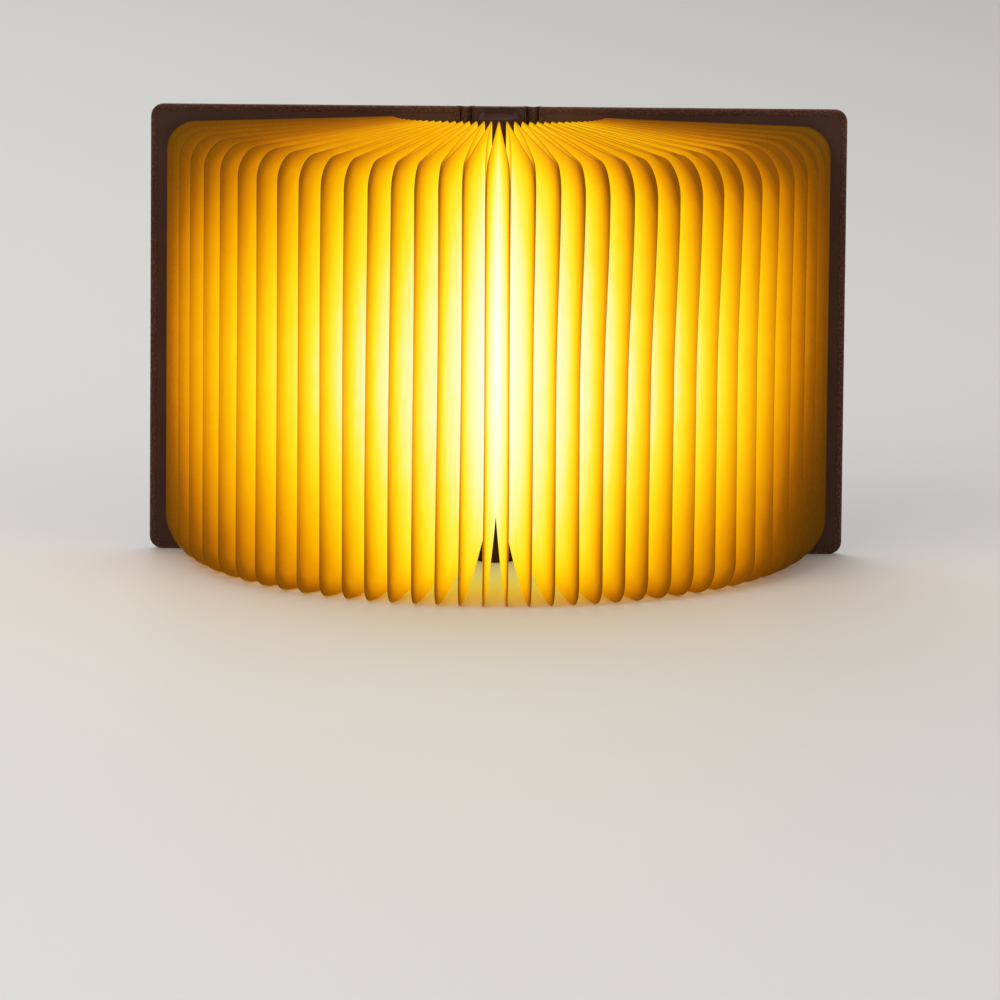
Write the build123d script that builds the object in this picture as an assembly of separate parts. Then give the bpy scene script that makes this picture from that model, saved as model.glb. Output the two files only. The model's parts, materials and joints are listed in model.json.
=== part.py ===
from build123d import *
import math
import os

# Book lamp: a pleated paper fan between two hinged covers, lit by a core on the spine.
# Millimetres, +Z up. The origin is on the floor under the lamp core. The pages open towards -Y,
# the spine and the covers stand behind them, and X runs along the open covers.

# Pleated pages
page_height = 209.0
page_length = 147.7
page_corner_radius = 19.0
page_head_rise = 5.0
page_head_cut = 5.0
page_tail_cut = 24.0
page_tail_slant = 75.0
paper_thickness = 0.15
pleat_count = 36
valley_clearance = 7.0
centre_crowding = 0.18
cover_open_angle = 90.0

# Covers and spine
head_overhang = 6.0
fore_overhang = 4.05
board_thickness = 2.5
leather_thickness = 0.8
endpaper_thickness = 0.3
endpaper_margin = 3.0
cover_corner_radius = 6.0
joint_width = 6.25
joint_depth = 2.2
hinge_offset = 1.0

# Lamp core
core_width = 20.0
core_depth = 30.0
core_wall = 1.6
core_drop = 2.0
bottom_cap_height = 24.0
top_cap_height = 24.0
cap_roof = 3.2
cap_edge_bevel = 1.0
crown_bevel = 2.4
crown_dish_depth = 0.8
crown_dish_margin = 3.0
diffuser_wall = 1.2

# Light source
led_board_thickness = 1.2
led_board_length = 150.0
led_ledge_depth = 2.0
led_ledge_width = 1.2
led_count = 12
led_width = 3.5
led_height = 2.8
led_thickness = 0.8

# Battery
battery_width = 13.0
battery_thickness = 8.0
battery_length = 90.0
battery_corner_radius = 2.0
battery_pad_thickness = 1.4

# Charging
charge_board_width = 14.0
charge_board_length = 20.0
charge_board_thickness = 1.2
inlet_width = 8.9
inlet_thickness = 3.2
inlet_length = 7.3
inlet_wall = 0.3
inlet_back = 1.5
inlet_corner_radius = 1.4
inlet_recess = 0.6
tongue_width = 6.7
tongue_thickness = 0.7
tongue_recess = 0.8
reed_length = 10.0
reed_diameter = 2.0
reed_above_inlet = 4.0

# Fasteners and magnets
screw_diameter = 2.5
screw_head_diameter = 4.6
screw_head_height = 1.8
screw_grip = 8.0
screw_recess = 2.0
screw_wall_distance = 4.0
screw_back_distance = 11.0
post_wall = 1.2
boss_spare = 2.0
magnet_diameter = 8.0
magnet_thickness = 1.5
magnet_edge_distance = 14.0
magnet_end_distance = 40.0
switch_magnet_spine_distance = 7.0
switch_magnet_height = 16.0

# Clearances
seat_gap = 0.3
fit_gap = 0.1
hole_gap = 0.2
closing_gap = 0.45

# Planes, edges and heights that follow from the sizes above
core_edge = core_width / 2
core_back = core_depth / 2
core_front_centre = core_edge - core_back
cavity_edge = core_edge - core_wall
cavity_back = core_back - core_wall
board_front = core_back
board_back = board_front + board_thickness
case_back = board_back + leather_thickness
endpaper_front = board_front - endpaper_thickness
hinge_y = board_back + leather_thickness / 2 + fit_gap
hinge_x = core_edge + closing_gap + hinge_y - endpaper_front
spine_edge = hinge_x - hinge_offset
cover_edge = spine_edge + joint_width
cover_reach = hinge_x + page_length + fore_overhang
cover_height = page_height + head_overhang
core_top = cover_height - core_drop
top_cap_floor = core_top - top_cap_height
half_count = pleat_count / 2
closed_pitch = (core_edge + closing_gap) / half_count
valley_radius = hinge_y + core_depth / 2 + valley_clearance
led_board_front = core_front_centre + led_thickness
led_board_back = led_board_front + led_board_thickness
core_middle = (bottom_cap_height + top_cap_floor) / 2
charge_board_front = cavity_back - charge_board_thickness
inlet_y = charge_board_front - inlet_thickness / 2
inlet_top = inlet_recess + inlet_length
screw_x = core_edge - screw_wall_distance
screw_y = core_back - screw_back_distance


def prism(outline, low, high):
    """A flat outline in XY, carried up from one height to another."""
    return Pos(0, 0, low) * extrude(outline, amount=high - low)


def panel(outline, front, back):
    """An outline drawn in X and Z, carried along Y from its front to its back."""
    facing = Plane(origin=(0, front, 0), x_dir=(1, 0, 0), z_dir=(0, -1, 0))
    return extrude(facing * outline, amount=front - back)


def span(x0, x1, y0, y1):
    """A rectangle between two corners."""
    return Pos((x0 + x1) / 2, (y0 + y1) / 2) * Rectangle(x1 - x0, y1 - y0)


def rod(x, y, diameter, low, high):
    """An upright round bar."""
    return prism(Pos(x, y) * Circle(diameter / 2), low, high)


def other_side(piece):
    """The same piece on the left of the spine."""
    return mirror(piece, about=Plane.YZ)


def pleat_angle(station):
    """Degrees that a station of the fan is turned from straight ahead, closer set at the centre."""
    share = station / half_count
    return cover_open_angle * ((1 - centre_crowding) * share + centre_crowding * share**3)


def pleat_root(station):
    """Point on the spine that a station of the fan turns about."""
    return Vector(station * closed_pitch, hinge_y)


def fan_directions(station):
    """Unit vectors of a station: outwards along the page, and across it to the right."""
    turn = math.radians(pleat_angle(station))
    return Vector(math.sin(turn), -math.cos(turn)), Vector(math.cos(turn), math.sin(turn))


def valley_point(station, side):
    """Inner end of the leaf that meets the valley fold at a station, held off the fold line."""
    outwards, across = fan_directions(station)
    stand_off = (seat_gap + paper_thickness) / 2
    return pleat_root(station) + outwards * valley_radius - across * side * stand_off


def pasted_point(side):
    """Inner end of the outermost leaf, against the endpaper of its cover."""
    reach = (half_count - 0.5) * closed_pitch + valley_radius
    return Vector(side * reach, endpaper_front - seat_gap - paper_thickness / 2)


def leaf_end(station, side):
    """Inner end of a pleat's leaf on one side, at a valley fold or at the cover."""
    at_cover = abs(station + side / 2) > half_count - 0.5
    return pasted_point(side) if at_cover else valley_point(station + side / 2, side)


def page_outline():
    """A leaf seen flat: round outer corners, a head that rises to the spine, slanting inner corners."""
    start = valley_radius - valley_clearance
    shoulder = page_length - page_corner_radius
    tail_end = valley_radius + page_tail_slant
    head_end = valley_radius + page_head_cut
    head_level = page_height + page_head_rise
    leaf = make_face(Polyline(
        (start, (tail_end - start) * page_tail_cut / page_tail_slant),
        (tail_end, 0),
        (page_length, 0),
        (page_length, page_height),
        (shoulder, page_height),
        (head_end, head_level),
        (start, head_level - head_end + start),
        close=True))
    return fillet(leaf.vertices().sort_by(Axis.X)[-2:], page_corner_radius - fit_gap)


def pleat(station):
    """Two thin leaves that share an outer fold and stand apart at the valley folds."""
    outwards, across = fan_directions(station)
    root = pleat_root(station)

    def local(point):
        away = point - root
        return Vector(away.dot(outwards), away.dot(across))

    half = paper_thickness / 2
    fold = Vector(page_length - half, 0)
    right = local(leaf_end(station, 1))
    left = local(leaf_end(station, -1))
    right_out = (fold - right).normalized().rotate(Axis.Z, 90) * half
    left_out = (fold - left).normalized().rotate(Axis.Z, -90) * half
    half_opening = (right - fold).get_angle(left - fold) / 2
    inwards = ((right - fold).normalized() + (left - fold).normalized()).normalized()
    inner_fold = fold + inwards * (half / math.sin(math.radians(half_opening)))
    section = make_face(Polyline(
        right + right_out,
        fold + right_out,
        fold + left_out,
        left + left_out,
        left - left_out,
        inner_fold,
        right - right_out,
        close=True))
    leaves = prism(section, 0, page_height + page_head_rise)
    leaves &= panel(page_outline(), -valley_radius, valley_radius)
    return Pos(root.X, root.Y, 0) * Rot(0, 0, pleat_angle(station) - 90) * leaves


def core_outline(inset=0):
    """The core from above: a flat back and sides, and a half-round front."""
    half = core_edge - inset
    return span(-half, half, core_front_centre, core_back - inset) + Pos(0, core_front_centre) * Circle(half)


def screw_places():
    """The two screw axes, left and right of the core's middle."""
    return [(-screw_x, screw_y), (screw_x, screw_y)]


def bottom_cap():
    """Lower core end: a cup with two screw posts and the slot of the charging inlet."""
    cap = prism(core_outline(), 0, bottom_cap_height)
    cap = chamfer(cap.edges().group_by(Axis.Z)[0], cap_edge_bevel)
    cap -= prism(core_outline(core_wall), core_wall, bottom_cap_height)
    seat = screw_recess + screw_head_height
    for x, y in screw_places():
        cap += rod(x, y, screw_head_diameter + 2 * (hole_gap + post_wall), core_wall, bottom_cap_height)
    cap &= prism(core_outline(), 0, bottom_cap_height)
    for x, y in screw_places():
        cap -= rod(x, y, screw_diameter + 2 * hole_gap, 0, bottom_cap_height)
        cap -= rod(x, y, screw_head_diameter + 2 * hole_gap, 0, seat)
    slot = RectangleRounded(inlet_width + 2 * hole_gap, inlet_thickness + 2 * hole_gap,
                            inlet_corner_radius + hole_gap)
    return cap - prism(Pos(0, inlet_y) * slot, 0, core_wall)


def top_cap():
    """Upper core end: a bevelled crown with a shallow dish, hollow from below."""
    cap = prism(core_outline(), top_cap_floor, core_top)
    cap = chamfer(cap.edges().group_by(Axis.Z)[-1], crown_bevel)
    cap -= prism(core_outline(core_wall), top_cap_floor, core_top - cap_roof)
    return cap - prism(core_outline(crown_dish_margin), core_top - crown_dish_depth, core_top)


def core_housing():
    """Channel of the core, open to the front, with ledges for the light board and screw bosses."""
    low, high = bottom_cap_height, top_cap_floor
    housing = prism(span(-core_edge, core_edge, core_front_centre, core_back), low, high)
    housing -= prism(span(-cavity_edge, cavity_edge, core_front_centre, cavity_back), low, high)
    for side in (-1, 1):
        ledge = span(cavity_edge - led_ledge_width, cavity_edge,
                     led_board_back, led_board_back + led_ledge_depth)
        housing += prism(ledge if side > 0 else mirror(ledge, about=Plane.YZ), low, high)
    boss_top = low + screw_grip + boss_spare
    for x, y in screw_places():
        outer = math.copysign(core_edge, x)
        web = span(min(x, outer), max(x, outer), y - post_wall / 2, y + post_wall / 2)
        housing += rod(x, y, screw_diameter + 2 * (fit_gap + post_wall), low, boss_top)
        housing += prism(web, low, boss_top)
    for x, y in screw_places():
        housing -= rod(x, y, screw_diameter + 2 * fit_gap, low, low + screw_grip)
    return housing


def diffuser():
    """Half-round lens across the front of the housing."""
    ring = Circle(core_edge) - Circle(core_edge - diffuser_wall)
    front = ring & span(-core_edge, core_edge, -core_edge, 0)
    return prism(Pos(0, core_front_centre) * front, bottom_cap_height, top_cap_floor)


def led_board():
    """Strip of circuit board on the housing's ledges."""
    half = cavity_edge - fit_gap
    low = core_middle - led_board_length / 2
    return prism(span(-half, half, led_board_front, led_board_back), low, low + led_board_length)


def leds():
    """Light sources in one row up the middle of their board."""
    pitch = led_board_length / led_count
    first = core_middle - pitch * (led_count - 1) / 2
    chip = span(-led_width / 2, led_width / 2, led_board_front - led_thickness, led_board_front)
    return Compound([
        prism(chip, first + pitch * place - led_height / 2, first + pitch * place + led_height / 2)
        for place in range(led_count)])


def battery_pad():
    """Foam tape between the battery and the back of the housing."""
    pad = span(-battery_width / 2, battery_width / 2, cavity_back - battery_pad_thickness, cavity_back)
    return prism(pad, core_middle - battery_length / 2, core_middle + battery_length / 2)


def battery():
    """Flat rechargeable cell with rounded edges."""
    middle = cavity_back - battery_pad_thickness - battery_thickness / 2
    outline = Pos(0, middle) * RectangleRounded(battery_width, battery_thickness, battery_corner_radius)
    return prism(outline, core_middle - battery_length / 2, core_middle + battery_length / 2)


def charge_board():
    """Charging board, flat against the back of the bottom cap."""
    half = charge_board_width / 2
    low = core_wall + hole_gap
    return prism(span(-half, half, charge_board_front, cavity_back), low, low + charge_board_length)


def usb_inlet():
    """Charging socket: an oval metal shell, open downwards, around a flat tongue."""
    shell = RectangleRounded(inlet_width, inlet_thickness, inlet_corner_radius)
    mouth = RectangleRounded(inlet_width - 2 * inlet_wall, inlet_thickness - 2 * inlet_wall,
                             inlet_corner_radius - inlet_wall)
    inlet = prism(shell, inlet_recess, inlet_top)
    inlet -= prism(mouth, inlet_recess, inlet_top - inlet_back)
    inlet += prism(Rectangle(tongue_width, tongue_thickness), inlet_recess + tongue_recess, inlet_top)
    return Pos(0, inlet_y, 0) * inlet


def reed_switch():
    """Glass switch across the charging board, closed by a magnet in the cover."""
    y = charge_board_front - reed_diameter / 2
    z = inlet_top + reed_above_inlet
    return Pos(0, y, z) * Rot(0, 90, 0) * Cylinder(reed_diameter / 2, reed_length)


def cap_screws():
    """Two screws, up through the bottom cap into the housing."""
    seat = screw_recess + screw_head_height
    return Compound([
        rod(x, y, screw_head_diameter, screw_recess, seat)
        + rod(x, y, screw_diameter, seat, bottom_cap_height + screw_grip)
        for x, y in screw_places()])


def spine_board():
    """Stiff board of the spine, which carries the core."""
    return panel(span(-spine_edge, spine_edge, leather_thickness, cover_height - leather_thickness),
                 board_front, board_back)


def spine_leather():
    """Leather over the back of the spine, turned in at its head and tail."""
    wrap = panel(span(-spine_edge, spine_edge, 0, cover_height), board_front, case_back)
    return wrap - spine_board()


def cover_outline(inset, spine_inset, radius):
    """A cover from the front, drawn in by its insets and rounded at its two outer corners."""
    outline = span(cover_edge + spine_inset, cover_reach - inset, inset, cover_height - inset)
    return fillet(outline.vertices().sort_by(Axis.X)[-2:], radius)


def cover_board_outline():
    """The board inside the leather's edges."""
    return cover_outline(leather_thickness, 0, cover_corner_radius - leather_thickness)


def endpaper_outline(grow=0):
    """The lining sheet, inside a margin of leather on all four sides."""
    inset = endpaper_margin - grow
    return cover_outline(inset, inset, cover_corner_radius - inset)


def leather():
    """Leather of one cover, wrapped round the board's edges onto its inner face."""
    wrap = panel(cover_outline(0, 0, cover_corner_radius), endpaper_front, case_back)
    wrap -= panel(cover_board_outline(), board_front, board_back)
    return wrap - panel(endpaper_outline(fit_gap), endpaper_front, board_front)


def endpaper():
    """Lining sheet that holds the outermost leaf."""
    return panel(endpaper_outline(), endpaper_front, board_front)


def fore_edge_magnets():
    """Places of the two magnets that hold the covers together."""
    x = cover_reach - magnet_edge_distance
    return [(x, magnet_end_distance), (x, cover_height - magnet_end_distance)]


def switch_magnet():
    """Place of the magnet that works the switch in the core."""
    return [(cover_edge + switch_magnet_spine_distance, switch_magnet_height)]


def magnets(places):
    """Round magnets let into a board from its inner face."""
    return Compound([
        panel(Pos(x, z) * Circle(magnet_diameter / 2), board_front, board_front + magnet_thickness)
        for x, z in places])


def board(places):
    """Cover board with a pocket for each of its magnets."""
    sheet = panel(cover_board_outline(), board_front, board_back)
    for x, z in places:
        pocket = Pos(x, z) * Circle(magnet_diameter / 2 + fit_gap)
        sheet -= panel(pocket, board_front, board_front + magnet_thickness + fit_gap)
    return sheet


def hinge_strip():
    """Leather joint between spine and cover, pressed in as a groove."""
    near, far = spine_edge + fit_gap, cover_edge - seat_gap
    middle = (near + far) / 2
    outside = ThreePointArc((near, case_back), (middle, case_back - joint_depth), (far, case_back))
    inside = ThreePointArc((far, board_back), (middle, board_back - joint_depth), (near, board_back))
    ends = [Line(outside @ 1, inside @ 0), Line(inside @ 1, outside @ 0)]
    return prism(make_face([outside, inside, *ends]), 0, cover_height)


right_places = fore_edge_magnets() + switch_magnet()
left_places = fore_edge_magnets()

pieces = {
    "spine_board": spine_board(),
    "spine_leather": spine_leather(),
    "core_housing": core_housing(),
    "diffuser": diffuser(),
    "led_board": led_board(),
    "leds": leds(),
    "battery": battery(),
    "battery_pad": battery_pad(),
    "charge_board": charge_board(),
    "usb_inlet": usb_inlet(),
    "reed_switch": reed_switch(),
    "cap_screws": cap_screws(),
    "top_cap": top_cap(),
    "bottom_cap": bottom_cap(),
    "right_board": board(right_places),
    "right_leather": leather(),
    "right_endpaper": endpaper(),
    "right_magnets": magnets(right_places),
    "right_hinge_strip": hinge_strip(),
    "left_board": other_side(board(left_places)),
    "left_leather": other_side(leather()),
    "left_endpaper": other_side(endpaper()),
    "left_magnets": other_side(magnets(left_places)),
    "left_hinge_strip": other_side(hinge_strip()),
}
for number in range(1, pleat_count + 1):
    pieces[f"pleat_{number:02d}"] = pleat(number - (pleat_count + 1) / 2)

os.makedirs("parts", exist_ok=True)
for name, piece in pieces.items():
    export_step(piece, f"parts/{name}.step")
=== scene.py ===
import json
import math

import bmesh
import bpy
import numpy as np
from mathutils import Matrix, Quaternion, Vector


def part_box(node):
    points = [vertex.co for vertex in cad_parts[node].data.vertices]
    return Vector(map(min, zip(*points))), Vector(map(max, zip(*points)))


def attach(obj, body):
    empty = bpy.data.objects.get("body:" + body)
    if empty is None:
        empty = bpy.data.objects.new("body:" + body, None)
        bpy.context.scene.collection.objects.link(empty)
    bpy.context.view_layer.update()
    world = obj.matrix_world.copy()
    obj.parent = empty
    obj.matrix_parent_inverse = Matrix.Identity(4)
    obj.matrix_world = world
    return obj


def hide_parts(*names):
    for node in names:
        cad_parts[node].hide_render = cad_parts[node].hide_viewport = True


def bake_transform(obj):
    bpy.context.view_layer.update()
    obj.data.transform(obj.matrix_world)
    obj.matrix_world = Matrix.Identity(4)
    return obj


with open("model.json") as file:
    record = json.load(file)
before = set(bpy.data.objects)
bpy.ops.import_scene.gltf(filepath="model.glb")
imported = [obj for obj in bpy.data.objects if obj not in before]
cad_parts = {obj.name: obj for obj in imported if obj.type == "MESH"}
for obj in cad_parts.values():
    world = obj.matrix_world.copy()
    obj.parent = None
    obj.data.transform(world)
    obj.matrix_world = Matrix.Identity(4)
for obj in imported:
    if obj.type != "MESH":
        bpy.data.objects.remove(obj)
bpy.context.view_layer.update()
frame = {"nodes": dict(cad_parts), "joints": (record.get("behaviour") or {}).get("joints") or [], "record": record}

mm = 0.001
jointAt = {j["name"]: j["pos_m"] for j in frame["joints"]}
ratioOf = {c["joint"]: c["ratio"] for c in frame["record"]["behaviour"]["couplings"]}
hingeY = jointAt["right_cover_hinge"][1]
openAngle = math.radians(90)    # turn of a cover from the closed book to the open one
sharpAngle = math.radians(35)   # an edge that turns more than this stays sharp
print("frame loaded:", len(frame["nodes"]), "nodes")


# mesh helpers

def gridQuads(rows, cols, first=0, flip=False):
    # quads between neighbouring rows and columns of a rows x cols grid of points
    r, c = np.meshgrid(np.arange(rows - 1), np.arange(cols - 1), indexing="ij")
    a = (r * cols + c).ravel() + first
    quads = np.stack([a, a + 1, a + cols + 1, a + cols], axis=1)
    return quads[:, ::-1] if flip else quads


def addPiece(name, points, faces, material, charts=None):
    # points (n,3) and index faces become one closed mesh object, smooth up to the sharp angle;
    # charts hold a pair of numbers for each point, kept as named texture coordinates
    mesh = bpy.data.meshes.new(name)
    mesh.from_pydata(np.asarray(points, float).tolist(), [], [list(map(int, f)) for f in faces])
    corner = np.empty(len(mesh.loops), int)
    mesh.loops.foreach_get("vertex_index", corner)
    for chart, pairs in (charts or {}).items():
        layer = mesh.uv_layers.new(name=chart)
        layer.uv.foreach_set("vector", pairs[corner].astype(np.float32).ravel())
    bm = bmesh.new()
    bm.from_mesh(mesh)
    bmesh.ops.recalc_face_normals(bm, faces=bm.faces)
    bm.to_mesh(mesh)
    bm.free()
    mesh.shade_smooth()
    mesh.set_sharp_from_angle(angle=sharpAngle)
    mesh.materials.append(material)
    obj = bpy.data.objects.new(name, mesh)
    bpy.context.scene.collection.objects.link(obj)
    return obj


def shell(front, back):
    # two grids of the same size become a closed shell: both faces and the four rims between them
    rows, cols = front.shape[:2]
    n = rows * cols
    points = np.concatenate([front.reshape(-1, 3), back.reshape(-1, 3)])
    index = np.arange(n).reshape(rows, cols)
    border = np.concatenate([index[0, :-1], index[:-1, -1], index[-1, :0:-1], index[:0:-1, 0]])
    after = np.roll(border, -1)
    rim = np.stack([border, after, after + n, border + n], axis=1)
    return points, np.concatenate([gridQuads(rows, cols), gridQuads(rows, cols, n, True), rim])


def ringStack(rings):
    # closed loops of the same length, one after the next, with a flat face on the first and the last
    count, loop = rings.shape[:2]
    index = np.arange(count * loop).reshape(count, loop)
    a, b = index[:-1], index[1:]
    side = np.stack([a, np.roll(a, -1, 1), np.roll(b, -1, 1), b], axis=-1).reshape(-1, 4)
    faces = [list(f) for f in side] + [list(index[0][::-1]), list(index[-1])]
    return rings.reshape(-1, 3), faces


# material helpers

def newMaterial(name):
    # an empty node tree with one shader on its output
    material = bpy.data.materials.new(name)
    material.use_nodes = True
    tree = material.node_tree
    tree.nodes.clear()
    out = tree.nodes.new("ShaderNodeOutputMaterial")
    shader = tree.nodes.new("ShaderNodeBsdfPrincipled")
    tree.links.new(shader.outputs["BSDF"], out.inputs["Surface"])
    return material, tree, shader


def plug(tree, socket, value):
    # a socket takes a link from another socket, or a plain number or colour
    if isinstance(value, bpy.types.NodeSocket):
        tree.links.new(value, socket)
    else:
        socket.default_value = value


def addNode(tree, kind, inputs=None, **settings):
    # a node of the kind, first with its settings and then with its inputs, by name or number
    made = tree.nodes.new("ShaderNode" + kind)
    for key, value in settings.items():
        setattr(made, key, value)
    for key, value in (inputs or {}).items():
        plug(tree, made.inputs[key], value)
    return made


def objectCoords(tree):
    # a point's place on the piece, in metres
    return addNode(tree, "TexCoord").outputs["Object"]


def calc(tree, operation, a, b=0.0, c=0.0, clamp=False):
    # one step of arithmetic on up to three values
    return addNode(tree, "Math", {0: a, 1: b, 2: c}, operation=operation, use_clamp=clamp).outputs[0]


def product(tree, first, *others):
    # all values multiplied, one after another
    for other in others:
        first = calc(tree, "MULTIPLY", first, other)
    return first


def remap(tree, value, low, high, toLow=0.0, toHigh=1.0, smooth=False):
    # the value's place from low to high, held between them, becomes a place from toLow to toHigh
    kind = "SMOOTHSTEP" if smooth else "LINEAR"
    inputs = {"Value": value, "From Min": low, "From Max": high, "To Min": toLow, "To Max": toHigh}
    return addNode(tree, "MapRange", inputs, interpolation_type=kind).outputs[0]


def opaque(colour):
    # red, green and blue with a full alpha
    return (*colour, 1)


def mixColour(tree, factor, a, b):
    # a where the factor is 0 and b where it is 1; the node's colours are inputs 6 and 7 and output 2
    return addNode(tree, "Mix", {0: factor, 6: a, 7: b}, data_type="RGBA").outputs[2]


def noise(tree, coords, scale, detail, rough=0.55):
    # cloudy noise from 0 to 1, its scale in clouds to the metre
    inputs = {"Vector": coords, "Scale": scale, "Detail": detail, "Roughness": rough}
    return addNode(tree, "TexNoise", inputs).outputs[0]


def bump(tree, height, strength, distance, below=None):
    # tilts the surface by a height field, over the tilt below it
    inputs = {"Height": height, "Strength": strength, "Distance": distance}
    if below is not None:
        inputs["Normal"] = below
    return addNode(tree, "Bump", inputs).outputs[0]


def ramp(tree, factor, stops):
    # the colour at the factor's place between the stops, which are (place, colour) pairs in order
    made = addNode(tree, "ValToRGB", {"Fac": factor})
    while len(made.color_ramp.elements) < len(stops):
        made.color_ramp.elements.new(0.5)
    for element, (place, colour) in zip(made.color_ramp.elements, stops):
        element.position = place
        element.color = opaque(colour)
    return made.outputs[0]


# pleated pages: one sheet, folded out at the mountain folds and in at the valley folds

pages = dict(
    count=len([n for n in frame["nodes"] if n.startswith("pleat_")]),
    height=209.0 * mm,          # tail to head at the outer corners
    length=147.7 * mm,          # spine line to mountain fold
    valley=40.0 * mm,           # spine line to valley fold
    thickness=0.2 * mm,
    pasteGap=0.4 * mm,          # outermost leaf to the endpaper
    headCorner=(13.5 * mm, 4.5 * mm),   # outer corner at the head, and its gain right of the middle
    tailCorner=(11.0 * mm, 7.0 * mm),   # outer corner at the tail, and its gain towards the covers
    leftTail=5.0 * mm,          # what the tail corner loses left of the middle
    headRise=5.0 * mm,          # how far the head rises towards the spine
    sideSag=(1.3 * mm, 0.5),    # how much lower and flatter the head is beside the covers
    headCut=(2.0 * mm, 0.5 * mm),       # slanted inner corner at the head, in front and beside the covers
    headCutFade=6,              # power of the cosine by which it shrinks
    tailCut=24.0 * mm,          # how far the tail rises towards the valley fold
    tailBend=1.6,               # power of that rise
    wander=0.10,                # degrees that a fold strays from a straight line
    # waves of a fold: strength, swing with its angle, swing with the height, and start
    waves=[(1.0, 9.0, 5.0, 0.0), (0.6, 23.0, -3.0, 1.0)],
    flare=1.2,                  # degrees that a fold on the right leans outwards at the head
    leanFrom=0.5,               # share of the height where the lean starts
    leanOver=0.42,              # share of the height over which it grows
    closedRoom=0.8,             # share of the room inside the closed right cover that the lean may take
    valleyGive=0.8,             # share of its angle that an inner leaf gives way at the valley fold
    leastPlace=0.25,            # least place of a valley fold on the way from the spine to the pleat
    sameTurn=1e-6,              # a leaf whose two folds turn alike, within this, is not bent
    columns=(3, 22, 14),        # over the slanted corner, the straight stretch and the round corner
    rows=24,
)
chartReach = 40.0 * mm          # distance from the edge that a chart shows as 1
pleatNames = [f"pleat_{i:02d}" for i in range(1, pages["count"] + 1)]
foldAngle = np.array([ratioOf[n + "_fold"] * openAngle for n in pleatNames])
foldRoot = np.array([jointAt[n + "_fold"][0] for n in pleatNames])


def headCutOf(i):
    # the slanted inner corner shrinks from the front to the covers by a power of the cosine
    front, aside = pages["headCut"]
    return aside + (front - aside) * math.cos(foldAngle[i]) ** pages["headCutFade"]


def cornersOf(i):
    # corner radii at head and tail: right and left of the middle they change with the sine of twice the
    # fold's angle, and the tail corner also grows with the squared sine of the angle
    p = pages
    right, left = (max(0.0, s * math.sin(2 * foldAngle[i])) for s in (1, -1))
    aside = math.sin(foldAngle[i]) ** 2
    return (p["headCorner"][0] + p["headCorner"][1] * right,
            p["tailCorner"][0] + p["tailCorner"][1] * aside - p["leftTail"] * left)


def headLevel(i, radius):
    # the head edge rises evenly from the round corner to the slanted inner corner, less so at the sides
    p = pages
    shoulder, headEnd = p["length"] - cornersOf(i)[0], p["valley"] + headCutOf(i)
    aside = math.sin(foldAngle[i]) ** 2
    lift = p["headRise"] * (1 - p["sideSag"][1] * aside)
    way = np.clip((shoulder - radius) / (shoulder - headEnd), 0, 1)
    return p["height"] - p["sideSag"][0] * aside + lift * way


def leafOutline(i):
    # radius, tail height and head height of each column: quarter circles at the outer corners, a rising
    # head with a slanted inner corner, and a tail that lifts by a power of the way to the valley fold
    p = pages
    corners = cornersOf(i)
    headEnd, widest = p["valley"] + headCutOf(i), max(corners)
    marks = [p["valley"], headEnd, p["length"] - widest]
    straight = [np.linspace(lo, hi, n + 1)[:-1] for lo, hi, n in zip(marks, marks[1:], p["columns"])]
    arc = marks[-1] + widest * np.sin(np.linspace(0, math.pi / 2, p["columns"][2] + 1))
    radius = np.concatenate([*straight, arc])
    past = [np.maximum(radius - p["length"] + c, 0) for c in corners]
    headDrop, tailDrop = (c - np.sqrt(np.maximum(c * c - d ** 2, 0)) for c, d in zip(corners, past))
    tailEnd = p["length"] - corners[1]
    way = np.clip((tailEnd - radius) / (tailEnd - p["valley"]), 0, 1)
    tail = p["tailCut"] * way ** p["tailBend"] + tailDrop
    head = headLevel(i, radius) - np.maximum(headEnd - radius, 0) - headDrop
    return radius, tail, head


def stray(angle, root, share):
    # small slow waves of the sheet by the fold's angle and the share of the height, and a lean outwards
    # that grows over the upper half on the right side, as far as the closed cover leaves room for it
    p = pages
    wave = sum(s * np.sin(a * angle + h * share + start) for s, a, h, start in p["waves"])
    up = np.clip((share - p["leanFrom"]) / p["leanOver"], 0, 1)
    room = p["closedRoom"] * np.maximum(foldRoot[-2] - root, 0) / p["length"]
    lean = np.minimum(np.radians(p["flare"]) * np.maximum(np.sin(2 * angle), 0), room)
    return np.radians(p["wander"]) * wave * np.cos(angle) + lean * up * up * (3 - 2 * up)


def valleyOf(i, outer):
    # angle and root of the valley fold beside pleat i, on its outer or its inner side: half-way to the
    # next pleat, or along the endpaper where no pleat follows
    side = 1 if foldAngle[i] > 0 else -1
    j = i + side if outer else i - side
    if 0 <= j < len(foldAngle):
        return (foldAngle[i] + foldAngle[j]) / 2, (foldRoot[i] + foldRoot[j]) / 2
    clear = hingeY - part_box("right_endpaper")[0].y + pages["pasteGap"]
    return side * math.acos(clear / pages["valley"]), foldRoot[i]


def leafPlaces(i, outer):
    # radius, height and share of the way to the valley fold of a leaf's points, with their angle and root,
    # which move evenly by that share from the mountain fold to the valley fold
    p = pages
    radius, tail, head = (row[:, None] for row in leafOutline(i))
    valleyAngle, valleyRoot = valleyOf(i, outer)
    share = (p["length"] - radius) / (p["length"] - p["valley"])
    z = tail + np.linspace(0, 1, p["rows"] + 1)[None, :] * (head - tail)
    angle = foldAngle[i] + (valleyAngle - foldAngle[i]) * share
    root = foldRoot[i] + (valleyRoot - foldRoot[i]) * share
    return radius, z, share, angle, root


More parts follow.
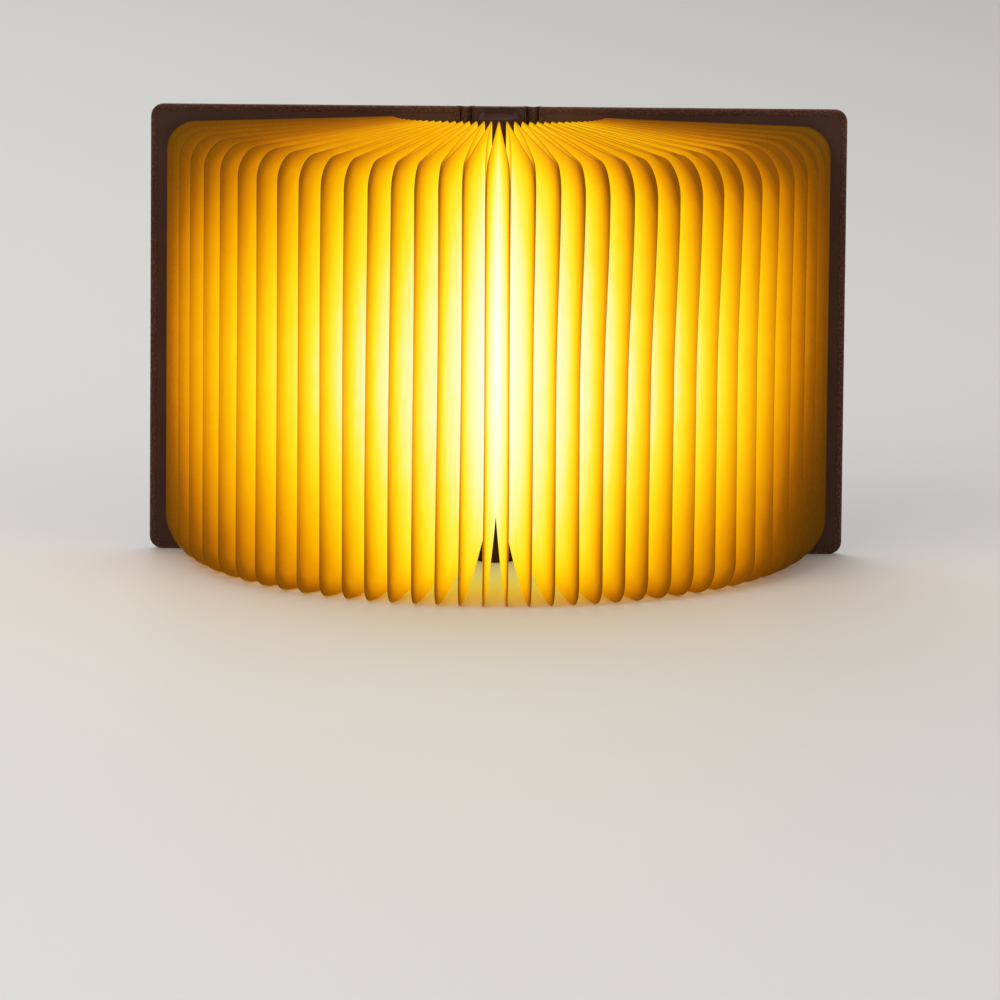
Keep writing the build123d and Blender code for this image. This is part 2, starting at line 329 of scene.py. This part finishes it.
def leafGrid(i, outer):
    # both faces of a leaf, half its thickness from the middle: an outer leaf curves with its angle and
    # root, an inner leaf runs along a straight line between its folds
    p = pages
    radius, z, share, angle, root = leafPlaces(i, outer)
    x, y = root + radius * np.sin(angle), hingeY - radius * np.cos(angle)
    if not outer:
        x, y = (line[-1] + (line[0] - line[-1]) * share for line in (x, y))
    angle = angle + 0 * z
    across = np.stack([np.cos(angle), np.sin(angle), 0 * angle], axis=-1)
    middle = np.stack([x + 0 * z, y + 0 * z, z], axis=-1)
    side = 1 if valleyOf(i, outer)[0] > foldAngle[i] else -1
    half = p["thickness"] / 2
    shift = side * half * (1 - 2 * share) + radius * stray(angle, root, z / p["height"])
    middle = middle + across * shift[..., None]
    return middle + across * half, middle - across * half


def leafCharts(i, outer):
    # the first chart holds the share of the way to the valley fold and the share of the height,
    # the second the distance to the leaf's outer edge, round corners too, and the fold's angle;
    # right of the middle the head corner counts as a larger one, so that the shoulder gets more painted shade
    # there
    p = pages
    headCorner, tailCorner = cornersOf(i)
    headCorner *= 1 + paperLook["shoulderShade"] * max(0.0, math.sin(2 * foldAngle[i]))
    radius, z, share, angle = leafPlaces(i, outer)[:4]
    inset = np.inf
    for r, end in ((headCorner, headLevel(i, radius) - z), (tailCorner, z)):
        out, up = radius - p["length"] + r, r - end
        reach = np.hypot(np.maximum(out, 0), np.maximum(up, 0)) + np.minimum(np.maximum(out, up), 0)
        inset = np.minimum(inset, r - reach)
    turn = angle / math.pi + 0.5
    first = np.stack([share + 0 * z, z / p["height"]], axis=-1).reshape(-1, 2)
    second = np.stack([inset / chartReach, turn + 0 * z], axis=-1).reshape(-1, 2)
    return {"leaf": np.tile(first, (2, 1)), "edge": np.tile(second, (2, 1))}


def unsmooth(w):
    # the place where a smoothstep reaches w: its cubic solved with a third of an arc sine
    return 0.5 - math.sin(math.asin(1 - 2 * w) / 3)


def bendLeaf(leaf, i, outer):
    # works out the share of the angle by which the leaf turns at its fold and at its valley fold: an inner
    # leaf between the spine and its own pleat, an outer leaf between the spine and the next pleat outwards;
    # a leaf whose two shares are alike moves with its pleat's body, any other keeps its place, baked in
    p = pages
    side = 1 if foldAngle[i] > 0 else -1
    j = i + side if outer and 0 <= i + side < len(foldAngle) else i
    valleyTurn = valleyOf(i, outer)[0] / foldAngle[j]
    if not outer:
        valleyTurn = 1 - p["valleyGive"] * (1 - valleyTurn)
    atFold = unsmooth(min(1.0, foldAngle[i] / foldAngle[j]))
    atValley = max(p["leastPlace"], unsmooth(min(1.0, max(0.0, valleyTurn))))
    if abs(atFold - atValley) < p["sameTurn"]:
        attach(leaf, pleatNames[i])
        return
    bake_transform(leaf)


paperLook = dict(
    # painted light: the base colours are the amber of the paper lit from inside, not its own paler cream
    base=(0.20, 0.095, 0.004),
    fleck=(0.15, 0.068, 0.003),
    fibre=(1400, 6, 0.65),              # fibres to the metre, their detail and roughness
    fibreStretch=(1, 1, 0.35),
    fleckSpan=(0.35, 0.68),
    rough=(0.3, 0.7, 0.72, 0.88),       # fibre from and to, and the roughness from and to
    gloss=0.06,
    grain=(0.25, 0.15 * mm),            # bump of the fibres and its depth
    # painted shade: dim colour of the fold edge, where no light comes through the doubled paper
    shadedCrease=(0.14, 0.06, 0.003),
    creaseWidth=0.4 * mm,
    creaseShade=0.1,                    # how much painted shade at a crease darkens the glow
    shade=(0.02, 0.005, 0.0),           # glow of a line darkened by painted shade
    # glow of a fold and how far from the edge the leaf gets bright, each left and right of the middle,
    # and the angle over which left passes into right
    atFold=(0.42, 0.28),
    reach=(9.0 * mm, 13.0 * mm),
    sidesMeet=20,
    rise=1.65, power=1.4,               # fast growth of the glow beside a fold, and its bend
    slope=16.5,                         # slow growth further in, by the metre
    inFront=(0.72, 1.2),                # change of rise and slope on leaves that point ahead
    frontFrom=0.92,                     # how far ahead a leaf points where that change starts
    headKeep=(0.9, 0.55),               # glow left at the edge of leaves that point aside and ahead
    keepFrom=(0.7, 0.9),                # how far ahead a leaf points between the two
    aheadShare=(0.12, 1.12, 1.06),      # least glow, its growth as a leaf points ahead, and its most
    # strength of the glow to the right: angles between which it changes, and by how much
    gains=[(0, 20, 1.2), (28, 46, 1.25), (50, 72, 0.47)],
    middle=(0.50, 0.60),                # share of the height where the glow is strongest, and far right
    middleTurn=(42, 76),                # angles between the two
    foldBlur=0.243,                     # spread of the glow over the height, at the folds
    deepBlur=(0.268, 0.42),             # and deep inside, on leaves that point aside and ahead
    deepFrom=(0.8, 0.5), deepTo=0.97,   # how far ahead between the two, low down and at the head
    deepRise=(0.6, 0.9),                # shares of the height between low down and the head
    blurShare=(0.02, 0.28),             # shares of the way inwards between fold and deep inside
    cloud=(90, 5),                      # clouds to the metre and their detail
    cloudSpan=(0.3, 0.7, 0.94, 1.06),   # cloud from and to, and the glow's change from and to
    shoulderShade=0.55,                 # how much larger the shaded head corner is on the right
    # painted lines along the edge, shade at the head and light at the tail: width, strength, and where they fade
    # in, inwards and by height
    headShadeLine=dict(width=0.7 * mm, strength=0.5, inwards=(0.1, 0.2), height=(0.6, 0.8)),
    tailLightLine=dict(width=0.5 * mm, strength=0.45, inwards=(0.03, 0.08), height=(0.3, 0.2)),
    headShadeLineLeft=(-20, 0.45),           # angle on the left where the painted head shade line is weakest, and its share
    tailLightLineLeft=-15,                   # angle on the left where the painted tail light line is full
    tailLit=(1.0, 0.62, 0.05),
    studioShare=(0.105, 0.042, 0.002),  # what the room light adds to the glow
    # exposure and colour of lit paper
    lit=[(0.00, (0.05, 0.02, 0.0)), (0.10, (0.30, 0.10, 0.0)), (0.20, (0.56, 0.19, 0.0)),
         (0.32, (0.72, 0.285, 0.0)), (0.60, (0.95, 0.445, 0.002)), (1.00, (0.99, 0.62, 0.006)),
         (1.34, (1.0, 0.738, 0.012)), (1.82, (1.0, 0.838, 0.06)), (2.10, (1.0, 0.88, 0.20)),
         (2.66, (1.0, 0.94, 0.46)), (4.00, (1.0, 1.0, 0.94))],
)


def leafMeasures(tree):
    # share of the way inwards, share of the height, distance from the outer edge and angle, from the charts
    leaf, edge = (addNode(tree, "SeparateXYZ", {0: addNode(tree, "UVMap", uv_map=chart).outputs[0]}).outputs
                  for chart in ("leaf", "edge"))
    inset = product(tree, edge[0], chartReach)
    turn = product(tree, calc(tree, "SUBTRACT", edge[1], 0.5), math.pi)
    return leaf[0], leaf[1], inset, turn


def leafGlow(tree, share, inset, turn, front):
    # painted light through the leaf: a fold is dim; the light first grows fast with the distance from the edge, as
    # one less an exponential, and then evenly with the way inwards; it weakens as the fold turns aside, and
    # changes to the right
    look = paperLook
    atFold, reach = (remap(tree, turn, 0.0, math.radians(look["sidesMeet"]), *look[k], smooth=True)
                     for k in ("atFold", "reach"))
    inside = calc(tree, "DIVIDE", calc(tree, "MAXIMUM", inset, 0.0), reach)
    inside = calc(tree, "EXPONENT", product(tree, calc(tree, "POWER", inside, look["power"]), -1.0))
    inside = calc(tree, "SUBTRACT", 1.0, inside)
    keep = remap(tree, front, *look["keepFrom"], *look["headKeep"], smooth=True)
    bright = calc(tree, "MULTIPLY_ADD", inside, calc(tree, "SUBTRACT", 1.0, keep), keep)
    riseGain, slopeGain = (remap(tree, front, look["frontFrom"], 1.0, 1.0, g) for g in look["inFront"])
    deep = product(tree, share, (pages["length"] - pages["valley"]) * look["slope"], slopeGain)
    nearFold = product(tree, inside, look["rise"], riseGain)
    glow = calc(tree, "ADD", nearFold, calc(tree, "MULTIPLY_ADD", deep, bright, atFold))
    least, growth, most = look["aheadShare"]
    ahead = calc(tree, "MINIMUM", calc(tree, "MULTIPLY_ADD", front, growth, least), most)
    gains = [remap(tree, turn, math.radians(low), math.radians(high), 1.0, gain, smooth=True)
             for low, high, gain in look["gains"]]
    return product(tree, glow, ahead, *gains)


def heightFade(tree, share, rise, turn, front):
    # painted light fading over the height: a bell curve of the height, which is wider deep inside the leaves that
    # point ahead
    look = paperLook
    low, head = (remap(tree, front, start, look["deepTo"], *look["deepBlur"]) for start in look["deepFrom"])
    deepBlur = remap(tree, rise, *look["deepRise"], low, head)
    blur = remap(tree, share, *look["blurShare"], look["foldBlur"], deepBlur)
    nearer, further = (math.radians(a) for a in look["middleTurn"])
    middle = remap(tree, turn, nearer, further, *look["middle"], smooth=True)
    up = calc(tree, "DIVIDE", calc(tree, "SUBTRACT", rise, middle), blur)
    return calc(tree, "EXPONENT", product(tree, up, up, -0.5))


def litColour(tree, exposure):
    # the exposure picks the colour of lit paper, less what the room light adds to it
    room, full = paperLook["studioShare"], paperLook["lit"][-1][0]
    stops = [(e / full, [max(0.0, c - r) for c, r in zip(colour, room)]) for e, colour in paperLook["lit"]]
    return ramp(tree, calc(tree, "DIVIDE", exposure, full), stops)


def paintedEdgeLine(tree, line, share, rise, inset, bySide):
    # a painted line along the edge, shade at the head and light at the tail: strongest on the edge and gone at the
    # line's width, times its fading inwards, by height and by side
    atEdge = remap(tree, inset, line["width"], 0.0, 0.0, line["strength"], smooth=True)
    inwards = remap(tree, share, *line["inwards"], smooth=True)
    height = remap(tree, rise, *line["height"], smooth=True)
    return product(tree, atEdge, inwards, height, bySide)


def makePaper():
    # flecked fibres with painted light: a glow by the exposure that stands in for the light from the core shining
    # through, painted shade at the fold edge and a dark line along the head, and a bright painted light line at
    # the tail
    look = paperLook
    material, tree, shader = newMaterial("glowingPaper")
    coords = objectCoords(tree)
    share, rise, inset, turn = leafMeasures(tree)
    front = calc(tree, "COSINE", turn)
    cloud = remap(tree, noise(tree, coords, *look["cloud"]), *look["cloudSpan"])
    exposure = product(tree, leafGlow(tree, share, inset, turn, front),
                       heightFade(tree, share, rise, turn, front), cloud)
    farLeft, weaker = look["headShadeLineLeft"]
    headSide = remap(tree, turn, math.radians(farLeft), 0.0, weaker, 1.0)
    tailSide = remap(tree, turn, 0.0, math.radians(look["tailLightLineLeft"]), smooth=True)
    # painted shade line along the head and painted light line along the tail
    headShade = paintedEdgeLine(tree, look["headShadeLine"], share, rise, inset, headSide)
    tailLight = paintedEdgeLine(tree, look["tailLightLine"], share, rise, inset, tailSide)
    # painted shade at the fold edge, within the crease width: it darkens the glow and the base colour there
    shadedCrease = remap(tree, inset, look["creaseWidth"], 0.0, smooth=True)
    # painted shade: the head line and the fold edge darken the glow towards the shade colour
    dark = calc(tree, "MAXIMUM", headShade, product(tree, shadedCrease, look["creaseShade"]))
    glow = mixColour(tree, dark, litColour(tree, exposure), opaque(look["shade"]))
    # painted light: a bright line along the tail
    glow = mixColour(tree, tailLight, glow, opaque(look["tailLit"]))
    stretched = addNode(tree, "Mapping", {"Vector": coords, "Scale": look["fibreStretch"]}).outputs[0]
    fibre = noise(tree, stretched, *look["fibre"])
    flecks = remap(tree, fibre, *look["fleckSpan"])
    base = mixColour(tree, flecks, opaque(look["base"]), opaque(look["fleck"]))
    plug(tree, shader.inputs["Base Color"], mixColour(tree, shadedCrease, base, opaque(look["shadedCrease"])))
    # painted light: the emission stands in for the light from the core shining through the leaves
    plug(tree, shader.inputs["Emission Color"], glow)
    shader.inputs["Emission Strength"].default_value = 1.0
    plug(tree, shader.inputs["Roughness"], remap(tree, fibre, *look["rough"]))
    shader.inputs["Specular IOR Level"].default_value = look["gloss"]
    plug(tree, shader.inputs["Normal"], bump(tree, fibre, *look["grain"]))
    return material


def addPages():
    # two leaves for each pleat, an outer and an inner one
    paper = makePaper()
    for i, node in enumerate(pleatNames):
        for outer in (True, False):
            name = f"{node}_{'outer' if outer else 'inner'}_leaf"
            leaf = addPiece(name, *shell(*leafGrid(i, outer)), paper, charts=leafCharts(i, outer))
            bendLeaf(leaf, i, outer)
            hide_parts(node)


addPages()
print("pages:", 2 * len(pleatNames), "leaves")


# finishes of the case and the core

# detail and roughness of clouds and grain, and the span of each that counts
mottle = dict(cloud=(6, 0.6), cloudSpan=(0.32, 0.68), fine=(5, 0.6), fineSpan=(0.3, 0.7))


def mottled(name, colours, clouds, rough, grain, metallic=0.0, stretch=(1, 1, 1), gloss=0.5):
    # two close colours mixed by cloudy noise, with a fine grain in roughness and bump
    material, tree, shader = newMaterial(name)
    coords = addNode(tree, "Mapping", {"Vector": objectCoords(tree), "Scale": stretch}).outputs[0]
    cloud = remap(tree, noise(tree, coords, clouds, *mottle["cloud"]), *mottle["cloudSpan"])
    fine = noise(tree, coords, grain[0], *mottle["fine"])
    plug(tree, shader.inputs["Base Color"], mixColour(tree, cloud, *map(opaque, colours)))
    plug(tree, shader.inputs["Roughness"], remap(tree, fine, *mottle["fineSpan"], *rough))
    shader.inputs["Metallic"].default_value = metallic
    shader.inputs["Specular IOR Level"].default_value = gloss
    plug(tree, shader.inputs["Normal"], bump(tree, fine, *grain[1:]))
    return material, shader


leatherLook = dict(
    base=(0.102, 0.035, 0.0160),
    dark=(0.038, 0.0128, 0.0066),
    worn=(0.18, 0.074, 0.036),
    pebbles=(460, 1150),        # cells to the metre, coarse and fine
    creaseWidth=0.2,            # share of a cell
    creaseShade=0.75,
    fineShare=(0.6, 1.0),       # how far fine creases count beside coarse ones
    warp=(300, 3),              # waves to the metre that bend the cells, and their detail
    warpReach=0.9 * mm,
    pore=(1900, 4, 0.6),        # pores to the metre, their detail and roughness
    cloud=(24, 6, 0.6), cloudSpan=(0.3, 0.7),
    dye=(0.35, 1.0),            # least and most of the lighter dye
    wearWidth=1.6 * mm,
    wear=(420, 6, 0.7),         # rubbed spots to the metre, their detail and roughness
    wearSpan=(0.4, 0.75, 0.1, 0.9),
    rough=(0.68, 0.44),         # in a crease and on a pebble
    gloss=0.24,
    # bump and its depth
    poreBump=(0.2, 0.08 * mm), fineBump=(0.35, 0.12 * mm), coarseBump=(0.7, 0.3 * mm),
)


def makeLeather():
    # brown grained leather: coarse and fine pebbles parted by creases darkened by painted shade, cloudy dye, paler
    # rubbed edges
    look = leatherLook
    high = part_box("right_leather")[1]
    material, tree, shader = newMaterial("brownLeather")
    coords = objectCoords(tree)
    x, _, z = addNode(tree, "SeparateXYZ", {0: coords}).outputs
    warp = product(tree, noise(tree, coords, *look["warp"]), look["warpReach"])
    bent = addNode(tree, "VectorMath", {0: coords, 1: warp}, operation="ADD").outputs[0]
    cells = [addNode(tree, "TexVoronoi", {"Vector": bent, "Scale": scale}, feature="DISTANCE_TO_EDGE")
             for scale in look["pebbles"]]
    coarse, fine = (remap(tree, cell.outputs["Distance"], 0.0, look["creaseWidth"], smooth=True)
                    for cell in cells)
    pore = noise(tree, coords, *look["pore"])
    cloud = remap(tree, noise(tree, coords, *look["cloud"]), *look["cloudSpan"])
    toEnds = calc(tree, "MINIMUM", z, calc(tree, "SUBTRACT", high.z, z))
    toFore = calc(tree, "SUBTRACT", high.x, calc(tree, "ABSOLUTE", x))
    rub = remap(tree, calc(tree, "MINIMUM", toEnds, toFore), look["wearWidth"], 0.0, smooth=True)
    spots = remap(tree, noise(tree, coords, *look["wear"]), *look["wearSpan"])
    rub = calc(tree, "MULTIPLY", rub, spots, clamp=True)
    dark = opaque(look["dark"])
    tone = mixColour(tree, remap(tree, cloud, 0.0, 1.0, *look["dye"]), dark, opaque(look["base"]))
    shadedCrease = product(tree, coarse, remap(tree, fine, 0.0, 1.0, *look["fineShare"]))
    # painted shade: the creases between the pebbles are darker
    tone = mixColour(tree, remap(tree, shadedCrease, 0.0, 1.0, look["creaseShade"], 0.0), tone, dark)
    plug(tree, shader.inputs["Base Color"], mixColour(tree, rub, tone, opaque(look["worn"])))
    plug(tree, shader.inputs["Roughness"], remap(tree, shadedCrease, 0.0, 1.0, *look["rough"]))
    shader.inputs["Specular IOR Level"].default_value = look["gloss"]
    grain = bump(tree, pore, *look["poreBump"])
    grain = bump(tree, fine, *look["fineBump"], grain)
    plug(tree, shader.inputs["Normal"], bump(tree, coarse, *look["coarseBump"], grain))
    return material


# two colours, clouds to the metre, roughness from and to, and grain: count to the metre, bump and its depth
finishLooks = {
    "liningPaper": dict(
        colours=[(0.066, 0.028, 0.016), (0.050, 0.021, 0.012)], clouds=45,
        rough=(0.75, 0.9), grain=(1100, 0.3, 0.1 * mm), gloss=0.25),
    "greyBoard": dict(
        colours=[(0.23, 0.18, 0.13), (0.17, 0.13, 0.095)], clouds=220,
        rough=(0.8, 0.95), grain=(900, 0.4, 0.15 * mm)),
    "corePlastic": dict(
        colours=[(0.052, 0.0165, 0.008), (0.040, 0.0125, 0.006)], clouds=70,
        rough=(0.7, 0.85), grain=(1600, 0.18, 0.06 * mm), gloss=0.06),
    "whiteBoard": dict(
        colours=[(0.74, 0.74, 0.71), (0.66, 0.66, 0.62)], clouds=150,
        rough=(0.3, 0.45), grain=(1300, 0.1, 0.04 * mm)),
    "cellFoil": dict(
        colours=[(0.62, 0.63, 0.65), (0.5, 0.51, 0.53)], clouds=90,
        rough=(0.28, 0.45), grain=(500, 0.3, 0.2 * mm), metallic=0.85),
    "foamTape": dict(
        colours=[(0.03, 0.03, 0.03), (0.018, 0.018, 0.018)], clouds=400,
        rough=(0.85, 0.98), grain=(1500, 0.6, 0.3 * mm)),
    "brushedSteel": dict(
        colours=[(0.60, 0.60, 0.61), (0.5, 0.5, 0.51)], clouds=200,
        rough=(0.24, 0.42), grain=(1800, 0.15, 0.03 * mm), metallic=1.0, stretch=(1, 1, 0.1)),
    "magnetNickel": dict(
        colours=[(0.68, 0.67, 0.64), (0.58, 0.57, 0.55)], clouds=160,
        rough=(0.16, 0.3), grain=(1200, 0.1, 0.03 * mm), metallic=1.0),
    "switchGlass": dict(
        colours=[(0.58, 0.70, 0.64), (0.5, 0.63, 0.57)], clouds=300,
        rough=(0.05, 0.12), grain=(900, 0.05, 0.02 * mm)),
}
glowLooks = {
    "opalLens": dict(colour=(0.85, 0.80, 0.66), glow=(1.0, 0.88, 0.55), strength=1.6),
    "lightChip": dict(colour=(0.85, 0.62, 0.14), glow=(1.0, 0.86, 0.5), strength=3.0),
}
moulding = dict(clouds=60, rough=(0.35, 0.5), grain=(900, 0.1, 0.05 * mm))
mouldingShade = 0.94            # second colour of a moulding, as a share of the first


def makeGlow(name, colour, glow, strength):
    # a pale moulding lit from behind, faintly uneven
    material, shader = mottled(name, [colour, [mouldingShade * c for c in colour]], **moulding)
    shader.inputs["Emission Color"].default_value = opaque(glow)
    shader.inputs["Emission Strength"].default_value = strength
    return material


leather = makeLeather()
finishes = {name: mottled(name, **look)[0] for name, look in finishLooks.items()}
finishes.update({name: makeGlow(name, **look) for name, look in glowLooks.items()})
finishOf = {
    "spine_board": "liningPaper", "right_endpaper": "liningPaper", "left_endpaper": "liningPaper",
    "right_board": "greyBoard", "left_board": "greyBoard",
    "right_magnets": "magnetNickel", "left_magnets": "magnetNickel",
    "core_housing": "corePlastic", "bottom_cap": "corePlastic", "diffuser": "opalLens",
    "led_board": "whiteBoard", "charge_board": "whiteBoard", "leds": "lightChip",
    "battery": "cellFoil", "battery_pad": "foamTape", "reed_switch": "switchGlass",
    "usb_inlet": "brushedSteel", "cap_screws": "brushedSteel",
}
for node, finish in finishOf.items():
    data = frame["nodes"][node].data
    data.materials.clear()
    data.materials.append(finishes[finish])
print("finishes:", len(finishOf), "nodes")


# leather case: two covers, the spine and the joints between them

case = dict(
    corner=6.0 * mm,            # outer corners of a cover
    spineCorner=0.8 * mm,       # corners beside the joint
    leastCorner=0.3 * mm,
    margin=3.3 * mm,            # leather turned in round the endpaper
    spineMargin=1.0 * mm,
    turnIn=(0.2 * mm, 0.25 * mm),       # width and depth of the sloped inner edge of that leather
    backRound=1.3 * mm, frontRound=0.6 * mm,
    backFlat=4,                 # back roundings from the edge to the last ring
    arcSteps=10, roundSteps=5,
)


def roundedLoop(x0, x1, z0, z1, radii):
    # a rectangle in x and z with a quarter circle of its own radius at each corner, from the low x0 corner
    turn = np.linspace(0, math.pi / 2, case["arcSteps"] + 1)
    corners = [(x0, z0, 1, 1), (x1, z0, -1, 1), (x1, z1, -1, -1), (x0, z1, 1, -1)]
    loop = []
    for k, (x, z, inX, inZ) in enumerate(corners):
        angle = turn + math.pi * (1 + k / 2)
        centre = np.array([x + inX * radii[k], z + inZ * radii[k]])
        loop.append(centre + radii[k] * np.stack([np.cos(angle), np.sin(angle)], axis=1))
    return np.concatenate(loop)


def slabRings(box, radii, margin):
    # the slab's outline, drawn in along a profile: the sloped inner edge of the turned-in leather, a quarter
    # circle at the front, a larger one at the back, and the flat back
    low, high = box
    c = case
    front, back = c["frontRound"], c["backRound"]
    width, slope = c["turnIn"]
    turn = np.linspace(0, math.pi / 2, c["roundSteps"] + 1)
    inset = np.concatenate([[margin, margin - width], front * (1 - np.sin(turn)),
                            back * (1 - np.cos(turn)), [c["backFlat"] * back]])
    depth = np.concatenate([[low.y + slope, low.y], low.y + front * (1 - np.cos(turn)),
                            high.y - back * (1 - np.sin(turn)), [high.y]])
    rings = []
    for d, y in zip(inset, depth):
        corners = [max(r - d, c["leastCorner"]) for r in radii]
        loop = roundedLoop(low.x + d, high.x - d, low.z + d, high.z - d, corners)
        rings.append(np.stack([loop[:, 0], np.full(len(loop), y), loop[:, 1]], axis=1))
    return np.array(rings)


def addCase():
    # two covers, each the other's mirror image, and the spine
    r, e = case["corner"], case["spineCorner"]
    rings = slabRings(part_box("right_leather"), (e, r, r, e), case["margin"])
    for side, sign in (("right", 1), ("left", -1)):
        cover = addPiece(f"{side}_cover_leather", *ringStack(rings * (sign, 1, 1)), leather)
        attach(cover, f"{side}_cover")
        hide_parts(f"{side}_leather")
    rings = slabRings(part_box("spine_leather"), (e, e, e, e), case["spineMargin"])
    spine = addPiece("spine_cover_leather", *ringStack(rings), leather)
    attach(spine, "spine")
    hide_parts("spine_leather")


joint = dict(
    tuck=1.1 * mm,              # how far a strip reaches under spine and cover
    underlap=0.06 * mm,         # how far it lies below them there
    wall=0.8 * mm, depth=2.2 * mm,
    steps=28, rows=30,
)


def addJoints():
    # a leather strip sags as a cosine groove between spine and cover, and tucks under both at its ends
    j = joint
    spineEdge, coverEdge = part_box("spine_leather")[1].x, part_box("right_leather")[0].x
    back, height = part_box("right_leather")[1].y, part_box("right_leather")[1].z
    u = np.linspace(0, 1, j["steps"] + 1)[:, None]
    z = np.linspace(0, height, j["rows"] + 1)[None, :]
    x = spineEdge - j["tuck"] + u * (coverEdge - spineEdge + 2 * j["tuck"])
    y = back - j["underlap"] - j["depth"] * (0.5 - 0.5 * np.cos(2 * math.pi * u))
    for side, sign in (("right", 1), ("left", -1)):
        outside = np.stack([sign * x + 0 * z, y + 0 * z, z + 0 * u], axis=-1)
        inside = outside - np.array([0, j["wall"], 0])
        strip = addPiece(f"{side}_joint_leather", *shell(outside, inside), leather)
        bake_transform(strip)
        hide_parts(f"{side}_hinge_strip")


addCase()
addJoints()
print("case: covers, spine and joints")


# crown of the lamp core

crown = dict(
    bevel=2.4 * mm, rim=3.0 * mm, dish=0.8 * mm,
    # way in from the rim, and share of the dish's depth there
    dishSlope=[(0.0, 0.0), (0.35 * mm, 0.55), (0.9 * mm, 1.0)],
    arcSteps=28, roundSteps=8,
)


def crownLoop(inset, z):
    # flat back and sides, and a half circle in front, drawn in by the inset
    low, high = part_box("top_cap")
    half = high.x - inset
    turn = np.linspace(math.pi, 2 * math.pi, crown["arcSteps"] + 1)
    front = np.stack([half * np.cos(turn), low.y + high.x + half * np.sin(turn)], axis=1)
    back = np.array([[half, high.y - inset], [-half, high.y - inset]])
    loop = np.concatenate([front, back])
    return np.column_stack([loop, np.full(len(loop), z)])


def addCrown():
    # walls up to a rounded shoulder, a narrow rim, and a shallow dish inside it
    c = crown
    low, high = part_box("top_cap")
    turn = np.linspace(0, math.pi / 2, c["roundSteps"] + 1)
    wayIn, sink = np.array(c["dishSlope"]).T
    inset = np.concatenate([[0], c["bevel"] * (1 - np.cos(turn)), c["rim"] + wayIn])
    level = np.concatenate([[low.z], high.z - c["bevel"] * (1 - np.sin(turn)), high.z - sink * c["dish"]])
    rings = np.array([crownLoop(d, z) for d, z in zip(inset, level)])
    cap = addPiece("core_crown", *ringStack(rings), finishes["corePlastic"])
    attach(cap, "spine")
    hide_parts("top_cap")


addCrown()
print("core: crown")


# stage, light and camera

studio = dict(
    floor=(0.74, 0.73, 0.71),
    speck=(700, 3), speckShade=0.985,
    roughness=0.6,
    reach=8.0,                  # middle of the floor to its sides
    drop=0.1 * mm,              # floor below the part
    sky=(1.0, 0.985, 0.96), skyStrength=0.44,
    aim=(0, 0, 0.1),
    # place and width in metres, and power in watts
    lamps={
        "key": ((-1.0, -1.5, 1.5), 1.4, 15.0),
        "fill": ((1.3, -1.3, 0.9), 1.6, 7.0),
        "top": ((0, 0.6, 1.6), 1.2, 6.0),
        "back": ((-0.8, 1.8, 1.2), 1.6, 9.0),
    },
)


def addFloor():
    # one wide square of pale matt board, faintly specked
    s = studio
    material, tree, shader = newMaterial("paleFloor")
    speck = noise(tree, objectCoords(tree), *s["speck"])
    tint = [s["speckShade"] * c for c in s["floor"]]
    plug(tree, shader.inputs["Base Color"], mixColour(tree, speck, opaque(s["floor"]), opaque(tint)))
    shader.inputs["Roughness"].default_value = s["roughness"]
    corners = [(x * s["reach"], y * s["reach"], 0) for x, y in ((-1, -1), (1, -1), (1, 1), (-1, 1))]
    mesh = bpy.data.meshes.new("floor")
    mesh.from_pydata(corners, [], [(0, 1, 2, 3)])
    mesh.materials.append(material)
    floor = bpy.data.objects.new("floor", mesh)
    floor.location.z = -s["drop"]
    bpy.context.scene.collection.objects.link(floor)


def addSky():
    # the same soft light from all sides
    world = bpy.data.worlds.new("studio")
    world.use_nodes = True
    back = world.node_tree.nodes["Background"]
    back.inputs["Color"].default_value = opaque(studio["sky"])
    back.inputs["Strength"].default_value = studio["skyStrength"]
    bpy.context.scene.world = world


def addLamps():
    # square lamps, all turned to the same aim
    for name, (place, width, power) in studio["lamps"].items():
        data = bpy.data.lights.new(name, "AREA")
        data.size = width
        data.energy = power
        lamp = bpy.data.objects.new(name, data)
        lamp.location = place
        toAim = Vector(studio["aim"]) - Vector(place)
        lamp.rotation_euler = toAim.to_track_quat("-Z", "Y").to_euler()
        bpy.context.scene.collection.objects.link(lamp)


view = dict(
    distance=5.387,             # metres in front of the hinges
    height=1.048, sideways=2.0 * mm,
    tilt=10.76, roll=0.52,      # degrees
    focalPixels=11458, imagePixels=1000, sensor=36.0,
    clip=(0.1, 100),
)


def addCamera():
    # the camera stands far in front and looks slightly down through a long lens, a little out of level
    v = view
    data = bpy.data.cameras.new("camera")
    data.sensor_width = v["sensor"]
    data.lens = v["focalPixels"] * v["sensor"] / v["imagePixels"]
    data.clip_start, data.clip_end = v["clip"]
    camera = bpy.data.objects.new("camera", data)
    camera.location = (v["sideways"], hingeY - v["distance"], v["height"])
    tilt = math.radians(v["tilt"])
    ahead = Vector((0, math.cos(tilt), -math.sin(tilt))).to_track_quat("-Z", "Y")
    camera.rotation_euler = (ahead @ Quaternion((0, 0, 1), math.radians(v["roll"]))).to_euler()
    bpy.context.scene.collection.objects.link(camera)
    bpy.context.scene.camera = camera


addFloor()
addSky()
addLamps()
addCamera()
bpy.context.scene.view_settings.view_transform = "Standard"
print("stage: floor, sky, lamps and camera")
